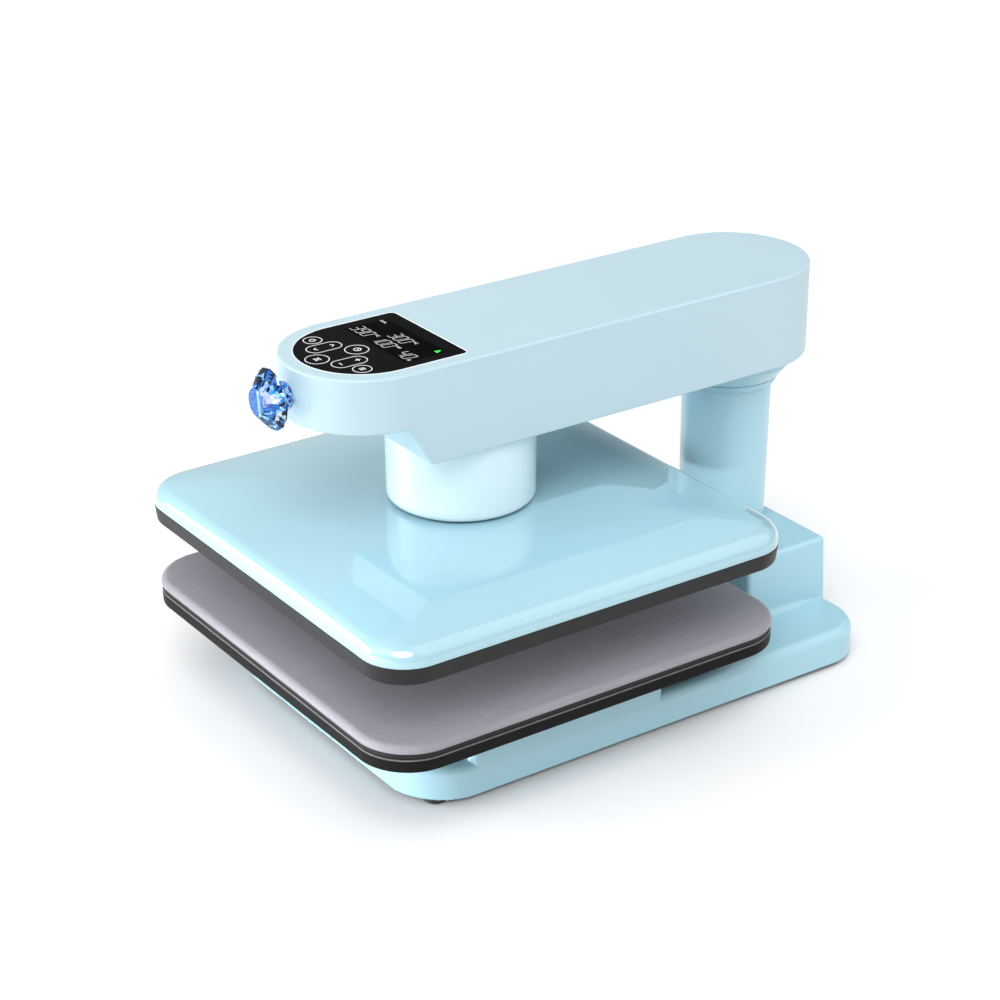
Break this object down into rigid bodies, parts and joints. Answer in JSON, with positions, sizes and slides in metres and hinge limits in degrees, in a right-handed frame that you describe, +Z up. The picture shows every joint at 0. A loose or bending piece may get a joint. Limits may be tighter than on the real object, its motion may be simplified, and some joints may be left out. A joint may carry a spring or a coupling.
{
  "type": "heat press",
  "caption": "Automatic swing-away heat press: a motor in a rounded arm lowers a heated platen from a round shroud onto a padded platen on a flat base with a rear column.",
  "frame": {"origin": "middle of the footprint on the surface the feet stand on", "axes": "+Z up, front with the knob faces -Y, +X to the right seen from the front's back"},
  "size_m": [0.3896, 0.539, 0.3306],
  "materials": {
    "body_blue": "satin",
    "cover_gloss": "high gloss",
    "frame_dark": "dark coated",
    "pad_fabric": "fine woven",
    "rubber": "matte",
    "panel_black": "gloss",
    "panel_edge": "polished edge",
    "crystal": "cut crystal",
    "steel": "machined",
    "zinc": "zinc plated",
    "bronze": "machined",
    "aluminium": "ground",
    "black_plastic": "fine texture",
    "board": "printed circuit",
    "gear_nylon": "moulded",
    "ceramic": "fired",
    "insulation": "felt"
  },
  "bodies": {
    "base": {"base_shell": "body_blue", "base_plate": "steel", "rubber_feet": "rubber", "base_screws": "zinc", "support_pillars": "steel", "lower_tray": "frame_dark", "pad_plate": "frame_dark", "press_pad": "pad_fabric", "tray_screws": "zinc", "column_post": "steel", "column_bolts": "zinc", "column_cover": "body_blue", "post_collar": "steel", "thrust_washer": "bronze", "post_retainer": "steel", "power_inlet": "black_plastic", "inlet_pins": "bronze", "inlet_screws": "zinc", "switch_frame": "black_plastic", "power_board": "board"},
    "rocker": {"power_rocker": "black_plastic"},
    "arm": {"arm_housing": "body_blue", "arm_belly_cover": "body_blue", "arm_frame": "steel", "arm_screws": "zinc", "belly_screws": "zinc", "swing_bushes": "bronze", "swing_stop_pin": "steel", "swing_collar": "body_blue", "collar_screws": "zinc", "control_panel": "panel_black", "panel_trim": "panel_edge", "display_board": "board", "control_board": "board", "drive_motor": "steel", "motor_screws": "zinc", "screw_bearing": "steel", "ram_guide": "aluminium", "guide_keys": "steel", "guide_screws": "zinc", "limit_switch": "black_plastic", "ram_shroud": "body_blue", "shroud_screws": "zinc", "knob_screw": "zinc", "crystal_knob": "crystal"},
    "screw": {"lead_screw": "steel", "screw_gear": "gear_nylon", "screw_collar": "steel"},
    "pinion": {"motor_pinion": "steel"},
    "press_head": {"ram_tube": "aluminium", "ram_nut": "bronze", "ram_flange": "steel", "platen_standoffs": "ceramic", "head_bolts": "zinc", "heat_platen": "aluminium", "heating_element": "steel", "thermal_cutout": "black_plastic", "insulation_sheet": "insulation", "platen_rim": "frame_dark", "platen_cover": "cover_gloss"}
  },
  "joints": [
    {"name": "arm_swing", "type": "hinge", "parent": "base", "child": "arm", "pos_m": [0, 0.20305, 0.25], "axis": [0, 0, 1], "range_deg": [-90, 90]},
    {"name": "press_slide", "type": "slide", "parent": "arm", "child": "press_head", "axis": [0, 0, -1], "range_m": [0, 0.0514]},
    {"name": "screw_turn", "type": "hinge", "parent": "arm", "child": "screw", "pos_m": [0, -0.07465, 0.3], "axis": [0, 0, 1], "range_deg": [0, 1851]},
    {"name": "pinion_turn", "type": "hinge", "parent": "arm", "child": "pinion", "pos_m": [0, 0.00335, 0.3], "axis": [0, 0, 1], "range_deg": [-5367.2, 0]},
    {"name": "rocker_tilt", "type": "hinge", "parent": "base", "child": "rocker", "pos_m": [0.038, 0.24525, 0.061], "axis": [1, 0, 0], "range_deg": [-18, 0]}
  ],
  "couplings": [
    {"joint": "screw_turn", "follows": "press_slide", "rad_per_m": 628.32},
    {"joint": "pinion_turn", "follows": "press_slide", "rad_per_m": -1822.1}
  ]
}
